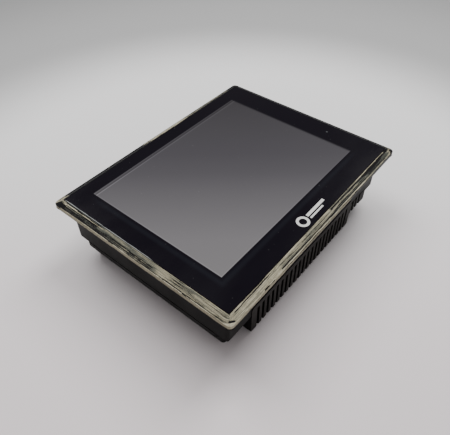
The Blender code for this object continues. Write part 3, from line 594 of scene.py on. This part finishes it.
# How light the sealant is, in the same way
SEALANT_TONE = {
    "left": (
        (-0.10, 1.10, 0.86, 2.10, 0.78), (0.03, 0.30, 0.10, 0.22, 0.85), (-0.10, 0.05, -0.10, 0.86, 0.50),
        (0.05, 0.30, -0.10, 0.10, 0.25), (0.05, 0.42, 0.22, 0.86, 0.18), (0.30, 0.62, -0.10, 0.22, 0.52),
        (0.42, 0.62, 0.22, 0.86, 0.36), (0.62, 1.10, -0.10, 0.86, 0.60),
    ),
    "bottom": (
        (-0.10, 0.24, -0.10, 1.02, 0.74), (0.24, 0.54, -0.10, 0.14, 0.76), (0.24, 0.54, 0.14, 0.60, 0.50),
        (0.24, 0.54, 0.60, 0.80, 0.40), (0.24, 0.80, 0.80, 1.02, 0.80), (0.54, 0.76, -0.10, 0.14, 0.48),
        (0.54, 0.76, 0.14, 0.28, 0.25), (0.54, 0.76, 0.28, 0.50, 0.66), (0.54, 0.80, 0.50, 0.80, 0.18),
        (0.76, 0.96, -0.10, 0.10, 0.72), (0.76, 0.96, 0.10, 0.76, 0.08), (0.80, 1.10, 0.76, 1.02, 0.66),
        (0.96, 1.10, -0.10, 0.76, 0.60), (-0.10, 0.30, 1.02, 2.10, 0.84), (0.30, 0.66, 1.02, 2.10, 0.76),
        (0.66, 1.10, 1.02, 2.10, 0.35),
    ),
    "top": ((-0.10, 0.34, -0.10, 2.10, 0.45), (0.34, 1.10, -0.10, 2.10, 0.75)),
    "right": ((-0.10, 1.10, -0.10, 2.10, 0.45),),
}


def place_on_bezel(x, y, z):
    """Side, s and a of a point, and how far round the bezel it is, in millimetres."""
    half_x, half_y = BEZEL_HALF
    core_x, core_y = half_x - COORDINATE_CORNER, half_y - COORDINATE_CORNER
    near_x, near_y = clamp(x, -core_x, core_x), clamp(y, -core_y, core_y)
    off_x, off_y = x - near_x, y - near_y
    if off_x and off_y:
        inset = COORDINATE_CORNER - math.hypot(off_x, off_y)
        angle = math.atan2(abs(off_y), abs(off_x))
    else:
        inset = min(half_x - abs(x), half_y - abs(y))
        angle = 0.0 if half_x - abs(x) < half_y - abs(y) else math.pi / 2
    if angle < math.pi / 4:
        side = "right" if x > 0 else "left"
        core, run = core_y, abs(near_y) + COORDINATE_CORNER * angle
        forward = (x > 0) == (y > 0)
    else:
        side = "top" if y > 0 else "bottom"
        core, run = core_x, abs(near_x) + COORDINATE_CORNER * (math.pi / 2 - angle)
        forward = (x > 0) != (y > 0)
    if not forward:
        run = -run
    s = 0.5 + run / (2 * core + math.pi * COORDINATE_CORNER / 2)
    a = 1.0 - clamp(inset / SLOPE_WIDTH, -0.1, 1.3) + clamp((SLOPE_FOOT - z) / (SLOPE_FOOT - FLANGE_BACK))
    return side, s, a, run + SIDE_STARTS[side]


def within(value, low, high, soft):
    return smoothstep(low - soft, low + soft, value) * (1 - smoothstep(high - soft, high + soft, value))


def stroke_sum(strokes, s, a):
    return sum(amount * within(s, s_from, s_to, STROKE_SOFT_S) * within(a, a_from, a_to, STROKE_SOFT_A)
               for s_from, s_to, a_from, a_to, amount in strokes)


def streak(around, a, length, across, seed):
    """Noise with spots about this long round the bezel. The higher across is, the narrower they are."""
    return noise.noise(Vector((around / length, a * across, seed)))


def sealant_at(side, s, a, around):
    """How thickly the sealant lies at a place, and how light it is, both from 0 to 1."""
    wobble = streak(around, a, 9.0, 1.5, 3.7)
    ragged = streak(around, a, 2.2, 3.0, 11.3)
    s_bent = s + 0.035 * wobble + 0.008 * ragged
    a_bent = a + 0.045 * wobble + 0.025 * ragged
    long_streak = streak(around, a, 34.0, 10.0, 21.0)
    short_streak = streak(around, a, 12.0, 15.0, 42.0)
    blotch = streak(around, a, 4.0, 3.0, 63.0)
    cover = stroke_sum(SEALANT[side], s_bent, a_bent)
    strength = min(1.0, 0.10 + 1.4 * max(cover, 0.0))
    cover += strength * (0.30 * long_streak + 0.26 * short_streak + 0.10 * blotch)
    tone = stroke_sum(SEALANT_TONE[side], s_bent, a_bent)
    tone += 0.16 * long_streak + 0.14 * short_streak + 0.08 * blotch
    return clamp(cover), clamp(tone)


def lay_sealant(mesh):
    """Sinks the plastic by the sealant's depth, except where sealant lies, and stores where that is."""
    normals = [vertex.normal.copy() for vertex in mesh.vertices]
    cover_of = mesh.attributes.new("cover", "FLOAT", "POINT")
    tone_of = mesh.attributes.new("tone", "FLOAT", "POINT")
    grain_of = mesh.attributes.new("grain", "FLOAT_VECTOR", "POINT")
    for vertex, normal in zip(mesh.vertices, normals):
        x, y, z = vertex.co / MM
        side, s, a, around = place_on_bezel(x, y, z)
        grain_of.data[vertex.index].vector = (around / 10.0, a, 0.0)
        past_recess = max(abs(x) - RECESS_HALF[0], abs(y) - RECESS_HALF[1]) > 0.01
        if z <= FLANGE_BACK + 0.02 or not past_recess:
            continue
        cover, tone = sealant_at(side, s, a, around)
        cover_of.data[vertex.index].value = cover
        tone_of.data[vertex.index].value = tone
        lumps = 0.75 + 0.5 * streak(around, a, 1.6, 9.0, 5.0)
        height = min(1.0, smoothstep(0.35, 0.75, cover) * lumps)
        edge = smoothstep(-0.02, 0.10, a) * (1 - smoothstep(1.96, 2.02, a))
        vertex.co -= normal * SEALANT_DEPTH * (1 - height) * edge * MM


def bezel_material():
    """Scuffed black plastic under streaky, crumbling sealant."""
    graph = Graph("bezel", Specular_IOR_Level=0.10)
    grain = graph.attribute("grain", "Vector")
    across = graph.node("SeparateXYZ", {0: grain}).outputs[1]
    on_slope = graph.range(across, 0.95, 1.12, 1.0, 0.35)
    broad = graph.noise(1.0, 3.0, 0.55, graph.stretched(0.40, 8.0, 1.0, grain))
    fine = graph.noise(1.0, 3.0, 0.6, graph.stretched(1.10, 19.0, 1.0, grain))
    strand = graph.noise(1.0, 1.0, 0.5, graph.stretched(0.30, 9.0, 7.0, grain))
    gap = graph.fall(graph.off(strand, 0.5), 0.004, 0.030)
    streaks = graph.total(graph.math("MULTIPLY_ADD", broad, 2.0, -1.0),
                          graph.math("MULTIPLY_ADD", fine, 1.8, -0.9))
    streaks = graph.math("SUBTRACT", streaks, graph.math("MULTIPLY", gap, 0.55))
    streaks = graph.math("MULTIPLY", streaks, on_slope)
    crumbs = graph.noise(1100.0, 3.0, 0.6)
    crumble = graph.math("MULTIPLY_ADD", crumbs, 0.36, -0.18)
    cover = graph.total(graph.attribute("cover"), graph.math("MULTIPLY", streaks, 0.45), crumble)
    laid = graph.range(cover, 0.34, 0.50)
    tone = graph.total(graph.attribute("tone"), graph.math("MULTIPLY", streaks, 0.62), crumble)
    sealant = graph.ramp(tone, (0.0, (0.030, 0.032, 0.026)), (0.35, (0.108, 0.112, 0.092)),
                         (0.70, (0.305, 0.274, 0.188)), (1.0, (0.570, 0.530, 0.400)))
    scratches = graph.noise(1.0, 4.0, 0.65, graph.stretched(1.2, 22.0, 1.0, grain))
    scuffs = graph.range(scratches, 0.54, 0.74, 0.0, 0.8)
    plastic = graph.mix(scuffs, (0.0048, 0.0044, 0.0052), (0.030, 0.032, 0.029))
    graph.colour(graph.mix(laid, plastic, sealant))
    graph.roughness(graph.range(laid, 0.0, 1.0, 0.42, 0.64))
    height = graph.total(graph.math("MULTIPLY", laid, 0.6), graph.math("MULTIPLY", crumbs, 0.4))
    graph.bump(height, 0.00012, 0.6)
    return graph.material


# --- rating plate -----------------------------------------------------------------------------------------

PLATE_CENTRE = (0.0, 4.0)
PLATE_HALF = (35.6, 19.6)
PLATE_RADIUS = 1.7
PLATE_HEIGHTS = (0.14, 0.42)
PLATE_ROUND = 0.08
PLATE_FRAME_OUTER = (33.6, 17.6)
PLATE_FRAME_INNER = (33.1, 17.1)
RULE_Y = 6.5  # the long printed rules, from the plate's middle
RULE_X = 11.0  # the short ones between them
RULE_HALF_WIDTH = 0.12
RULE_SOFT = 0.08


def make_plate(material):
    """A blank rating plate, stuck in the recess of the back."""
    low, high = PLATE_HEIGHTS
    full = rounded_points(PLATE_HALF, PLATE_RADIUS, PLATE_CENTRE)
    eased = rounded_points([half - PLATE_ROUND for half in PLATE_HALF], PLATE_RADIUS - 0.1, PLATE_CENTRE)
    mesh = loft_mesh("rating_plate", [(eased, low), (full, low + PLATE_ROUND), (full, high)], closed=False)
    turn_outwards(mesh, fill=True)
    add_piece("rating_plate", mesh, material, "panel", "aluminium")


def plate_material():
    """Satin foil with a printed frame and empty boxes."""
    graph = Graph("label", Specular_IOR_Level=0.3)
    x, y, _ = graph.axes()
    x, y = graph.off(x, PLATE_CENTRE[0]), graph.off(y, PLATE_CENTRE[1])

    def inside(half):
        return graph.product(*(graph.fall(value, edge, edge + 0.2) for value, edge in zip((x, y), half)))

    core = inside(PLATE_FRAME_INNER)
    long_rules = graph.band(y, RULE_Y, RULE_HALF_WIDTH, RULE_SOFT)
    short_rules = graph.product(graph.band(x, RULE_X, RULE_HALF_WIDTH, RULE_SOFT),
                                graph.fall(y, RULE_Y - 0.1, RULE_Y))
    rules = graph.product(graph.math("MAXIMUM", long_rules, short_rules), core)
    printed = graph.math("MAXIMUM", graph.math("SUBTRACT", inside(PLATE_FRAME_OUTER), core), rules)
    wear = graph.noise(90.0, 4.0, 0.6, graph.stretched(1.0, 5.0, 1.0))
    foil = graph.mix(graph.range(wear, 0.35, 0.70), (0.42, 0.42, 0.41), (0.33, 0.33, 0.33))
    graph.colour(graph.mix(printed, foil, (0.03, 0.03, 0.035)))
    graph.roughness(graph.range(wear, 0.3, 0.7, 0.34, 0.52))
    graph.bump(wear, 0.00002, 0.5)
    return graph.material


# --- sockets ------------------------------------------------------------------------------------------------

COM_INSULATOR = (7.1, 3.5)
COM_TAPER = 0.13
COM_BODY = 53.38  # the serial sockets' plastic body lies behind this Y
USB_BODY = 43.0
# Half size of the tongue, its height above the socket's foot, and its contacts
USB_TONGUES = {"usb_host_port": ((5.55, 0.95), 3.6, 4), "usb_client_port": ((2.85, 1.65), 5.5, 2)}
SOCKET_SOFT = 0.08
CONTACT_COLOUR = (0.62, 0.42, 0.16)


def socket_material(name, centre, half, body, taper=0.0, contacts=0):
    """A plated shell round a dark insulator, which is given by its centre and half size in X and Z.

    The plastic body behind the shell starts at the Y called body.
    """
    graph = Graph(name)
    x, y, z = graph.axes()
    off_x, off_z = graph.math("SUBTRACT", x, centre[0]), graph.math("SUBTRACT", z, centre[1])
    side = graph.math("SUBTRACT", graph.math("ABSOLUTE", off_x), graph.math("MULTIPLY", off_z, taper))
    core = graph.product(graph.fall(side, half[0] - SOCKET_SOFT, half[0]),
                         graph.fall(graph.math("ABSOLUTE", off_z), half[1] - SOCKET_SOFT, half[1]))
    insulator = graph.math("MAXIMUM", core, graph.fall(y, body, body + 0.05))
    stain = graph.noise(150.0, 3.0, 0.55)
    patches = graph.range(stain, 0.35, 0.7)
    plating = graph.mix(patches, (0.60, 0.59, 0.56), (0.46, 0.45, 0.43))
    plastic = graph.mix(patches, (0.014, 0.014, 0.015), (0.024, 0.024, 0.026))
    if contacts:
        pitch = 2.0 * half[0] / contacts
        wave = graph.math("PINGPONG", graph.math("ADD", off_x, 4.0 * half[0]), pitch / 2.0)
        strip = graph.product(graph.range(wave, 0.28 * pitch, 0.32 * pitch), core)
        plastic = graph.mix(strip, plastic, CONTACT_COLOUR)
    graph.colour(graph.mix(insulator, plating, plastic))
    graph.set(graph.shader, "Metallic", graph.math("SUBTRACT", 1.0, insulator))
    graph.roughness(graph.range(insulator, 0.0, 1.0, 0.30, 0.48))
    rim = graph.band(insulator, 0.5, 0.3, 0.2)
    graph.bump(graph.math("SUBTRACT", graph.math("MULTIPLY", stain, 0.15), rim), 0.00010, 0.6)
    return graph.material


def dress_sockets():
    """Each insulator lies at the middle of its socket's shell."""
    for number in (1, 2):
        port = f"com{number}_port"
        nuts = [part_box(f"jack_nut_{2 * number - 1 + i}") for i in (0, 1)]
        x = sum(corner.x for box in nuts for corner in box) / 4 / MM
        z = sum(corner.z for corner in nuts[0]) / 2 / MM
        dress(socket_material(port, (x, z), COM_INSULATOR, COM_BODY, taper=COM_TAPER), port)
    for port, (half, height, contacts) in USB_TONGUES.items():
        low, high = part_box(port)
        centre = ((low.x + high.x) / 2 / MM, low.z / MM + height)
        dress(socket_material(port, centre, half, USB_BODY, contacts=contacts), port)


# --- film ---------------------------------------------------------------------------------------------------

INK = (0.0040, 0.0030, 0.0058)
HALO_GREY = (0.0100, 0.0110, 0.0155)
HALO_OUT = 3.4  # the middle of a paler band on the black, out from the window's left and lower edges
LAMP_DOT = (0.060, 0.064, 0.068)
MARK_WHITE = (0.66, 0.655, 0.64)
LEFT_EDGE_GREY = (0.30, 0.31, 0.30)
DUST_GREY = (0.20, 0.20, 0.20)

MARK_CENTRE = (-9.1, -60.7)
MARK_RADIUS = 3.4
MARK_HALF_WIDTH = 0.80
MARK_BARS = ((-3.4, 15.2, -59.9, 0.95), (-3.4, 10.4, -62.6, 0.55))  # x from, x to, y, half width
MARK_SOFT = 0.12


def window_grey_and_sheen(graph, x, y):
    """The unlit screen's grey with painted sheen, darker with distance from the camera, and faint light lines
    along its edges, the left and lower ones painted highlights.
    """
    # Painted sheen: the window's colour lightens towards the camera, standing in for the overhead light's
    # reflection
    sheen_depth = graph.math("MULTIPLY_ADD", graph.view_depth(x, y), 5.5 * MM, 0.5)
    grey = graph.ramp(sheen_depth, (0.0, (0.152, 0.146, 0.149)), (0.17, (0.138, 0.132, 0.138)),
                      (0.5, (0.064, 0.0605, 0.067)), (0.61, (0.0515, 0.0485, 0.0545)),
                      (1.0, (0.033, 0.0306, 0.0338)))
    # The lines at the window's left and lower edges are painted highlights
    # Each edge line: axis, middle, half width, softness, how much lighter
    edge_lines = ((y, WINDOW_TOP - 2.6, 0.18, 0.35, 0.75), (y, WINDOW_TOP - 0.2, 0.15, 0.5, 0.90),
                  (x, WINDOW_LEFT + 0.35, 0.15, 0.3, 0.30), (y, WINDOW_LOW + 0.35, 0.15, 0.3, 0.22))
    lines = [graph.math("MULTIPLY", graph.band(axis, middle, half_width, soft), amount)
             for axis, middle, half_width, soft, amount in edge_lines]
    dark_strip = graph.math("MULTIPLY", graph.range(y, WINDOW_TOP - 2.5, WINDOW_TOP - 2.2), -0.34)
    light = graph.total(1.0, *lines, dark_strip)
    return graph.node("VectorMath", {0: grey, "Scale": light}, operation="SCALE").outputs[0]


def film_ink(graph, x, y):
    """The black print, a paler band near the window's left and lower edges, and the lamp's dot."""
    halo = graph.math("MAXIMUM", graph.band(x, WINDOW_LEFT - HALO_OUT, 0.6, 2.2),
                      graph.band(y, WINDOW_LOW - HALO_OUT, 0.6, 2.2))
    halo = graph.product(halo, graph.range(x, WINDOW_LEFT - 6.0, WINDOW_LEFT - 3.0),
                         graph.range(y, WINDOW_LOW - 6.0, WINDOW_LOW - 3.0),
                         graph.fall(x, 55.0, 75.0), graph.fall(y, 40.0, 60.0))
    ink = graph.mix(graph.math("MULTIPLY", halo, 0.5), INK, HALO_GREY)
    return graph.mix(graph.fall(graph.away_from(x, y, LAMP), 0.5, 0.9), ink, LAMP_DOT)


def printed_mark(graph, x, y):
    """A plain ring with two bars beside it."""
    mark = graph.band(graph.away_from(x, y, MARK_CENTRE), MARK_RADIUS, MARK_HALF_WIDTH, MARK_SOFT)
    for x_from, x_to, bar_y, half_width in MARK_BARS:
        bar = graph.product(graph.band(x, (x_from + x_to) / 2, (x_to - x_from) / 2, MARK_SOFT),
                            graph.band(y, bar_y, half_width, MARK_SOFT))
        mark = graph.math("MAXIMUM", mark, bar)
    return mark


def left_edge_streaks(graph, x, y):
    """Fine light streaks along the upper part of the film's left edge."""
    near_edge = graph.product(graph.fall(x, FILM_LOW.x, FILM_LOW.x + 1.5), graph.range(y, -40.0, 0.0),
                              graph.range(y, 62.0, 70.0, 1.0, 0.6))
    streaks = graph.noise(1.0, 3.0, 0.6, graph.stretched(2200.0, 90.0, 1.0))
    return graph.range(graph.total(near_edge, streaks), 1.22, 1.34, 0.0, 0.75)


def film_material():
    """Glossy black print with a hazy grey window carrying painted sheen, a lamp dot, a plain printed mark and
    some dirt.
    """
    graph = Graph("film", Specular_IOR_Level=0.07)
    x, y, _ = graph.axes()
    window = graph.product(graph.range(x, WINDOW_LEFT - 0.15, WINDOW_LEFT + 0.25),
                           graph.fall(x, WINDOW_RIGHT - 2.0, WINDOW_RIGHT + 0.8),
                           graph.range(y, WINDOW_LOW - 0.15, WINDOW_LOW + 0.25),
                           graph.fall(y, WINDOW_TOP - 0.9, WINDOW_TOP + 0.6))
    base = graph.mix(window, film_ink(graph, x, y), window_grey_and_sheen(graph, x, y))
    base = graph.mix(printed_mark(graph, x, y), base, MARK_WHITE)
    base = graph.mix(left_edge_streaks(graph, x, y), base, LEFT_EDGE_GREY)
    dust = graph.range(graph.noise(620.0, 2.0, 0.5), 0.735, 0.78, 0.0, 0.35)
    graph.colour(graph.mix(dust, base, DUST_GREY))
    wipe = graph.noise(14.0, 4.0, 0.6, graph.stretched(1.0, 2.2, 1.0))
    print_roughness = graph.range(wipe, 0.3, 0.7, 0.13, 0.24)
    window_roughness = graph.range(wipe, 0.3, 0.7, 0.40, 0.50)
    graph.roughness(graph.mix(window, print_roughness, window_roughness))
    return graph.material


# --- case and small parts ---------------------------------------------------------------------------------

VENT_BLOCK_Y = -65.1  # the case's vent block lies beyond this Y on the lower side
VENT_BLOCK_TOP = 24.5
BEVEL_ANGLE = 38
BEVELS = {"rear_housing": 0.30, "overlay_film": 0.08, "panel_gasket": 0.15, "power_plug": 0.20,
          "power_header": 0.15, "battery_cover": 0.18, "system_key": 0.25}


def moulded(name, colour, roughness, grain=1500.0, depth=0.00004, vents=None, gloss=0.4):
    """Moulded plastic: fine spark-eroded grain, slight unevenness of colour and gloss.

    The vents colour is that of the case's vent block, which looks lighter and warmer in the photo.
    """
    graph = Graph(name, Specular_IOR_Level=gloss)
    cloud = graph.noise(38.0, 4.0, 0.6)
    lighter = tuple(c * 1.5 + 0.0008 for c in colour)
    tint = graph.mix(graph.range(cloud, 0.35, 0.75), colour, lighter)
    if vents:
        _, y, z = graph.axes()
        on_block = graph.product(graph.fall(y, VENT_BLOCK_Y, VENT_BLOCK_Y + 0.3),
                                 graph.fall(z, VENT_BLOCK_TOP, VENT_BLOCK_TOP + 1.0))
        tint = graph.mix(on_block, tint, vents)
    graph.colour(tint)
    graph.roughness(graph.range(cloud, 0.3, 0.7, roughness - 0.06, roughness + 0.08))
    graph.bump(graph.noise(grain, 2.0, 0.5), depth, 0.7)
    return graph.material


def metal(name, colour, roughness, brush=(1.0, 1.0, 1.0)):
    """Metal with stains, and with fine lines where its brush draws the grain out."""
    graph = Graph(name, Metallic=1.0)
    lines = graph.noise(420.0, 4.0, 0.6, graph.stretched(*brush))
    stain = graph.noise(70.0, 3.0, 0.5)
    dark = tuple(c * 0.72 for c in colour)
    graph.colour(graph.mix(graph.range(stain, 0.35, 0.7), colour, dark))
    graph.roughness(graph.range(lines, 0.3, 0.7, roughness - 0.08, roughness + 0.12))
    graph.bump(lines, 0.00002, 0.4)
    return graph.material


def board_material():
    """Solder mask over copper lines and pads."""
    graph = Graph("board", Roughness=0.35)
    brick = graph.node("TexBrick", {"Vector": graph.place, "Scale": 260.0, "Mortar Size": 0.08,
                                    "Color1": (0.0, 0.0, 0.0), "Color2": (0.0, 0.0, 0.0),
                                    "Mortar": (1.0, 1.0, 1.0)}).outputs[0]
    tracks = graph.product(brick, graph.range(graph.noise(60.0, 2.0, 0.5), 0.48, 0.52))
    graph.colour(graph.mix(tracks, (0.012, 0.110, 0.045), (0.035, 0.210, 0.080)))
    graph.bump(tracks, 0.00004, 0.5)
    return graph.material


def glass_material():
    graph = Graph("glass")
    smudge = graph.noise(60.0, 3.0, 0.5)
    graph.colour(graph.mix(smudge, (0.16, 0.17, 0.18), (0.22, 0.23, 0.24)))
    graph.roughness(graph.range(smudge, 0.3, 0.7, 0.04, 0.14))
    return graph.material


def make_materials():
    """One material for each of the record's slots."""
    return {
        "film": film_material(),
        "bezel": bezel_material(),
        "case": moulded("case", (0.0028, 0.0026, 0.0026), 0.50, vents=(0.017, 0.0147, 0.0134), gloss=0.09),
        "seal": moulded("seal", (0.010, 0.010, 0.010), 0.75, 900.0, 0.00006),
        "glass": glass_material(),
        "steel": metal("steel", (0.62, 0.62, 0.60), 0.32, (1.0, 14.0, 1.0)),
        "zinc": metal("zinc", (0.60, 0.60, 0.58), 0.30),
        "diffuser": moulded("diffuser", (0.72, 0.72, 0.70), 0.5, 700.0),
        "board": board_material(),
        "chip": moulded("chip", (0.020, 0.020, 0.021), 0.55, 2400.0),
        "aluminium": metal("aluminium", (0.72, 0.72, 0.73), 0.38, (1.0, 20.0, 1.0)),
        "terminal": moulded("terminal", (0.020, 0.200, 0.085), 0.42),
        "moulding": moulded("moulding", (0.022, 0.022, 0.022), 0.48),
        "ribbon": moulded("ribbon", (0.40, 0.20, 0.05), 0.36, 500.0),
        "light_guide": moulded("light_guide", (0.60, 0.64, 0.62), 0.15, 300.0, 0.00001),
    }


def dress_by_slot(materials):
    """Gives every CAD node its slot's material."""
    for part in frame["record"]["subparts"]:
        dress(materials[part["material_slot"]], part["node"])


def soften_edges():
    """Small rounds on the edges of CAD nodes that keep their shape."""
    for name, width in BEVELS.items():
        modifier = NODES[name].modifiers.new("rounds", "BEVEL")
        modifier.width = width * MM
        modifier.segments = 2
        modifier.limit_method = "ANGLE"
        modifier.angle_limit = math.radians(BEVEL_ANGLE)
        modifier.harden_normals = True


make_studio()
materials = make_materials()
dress_by_slot(materials)
soften_edges()
make_bezel(materials["bezel"])
make_plate(plate_material())
dress_sockets()
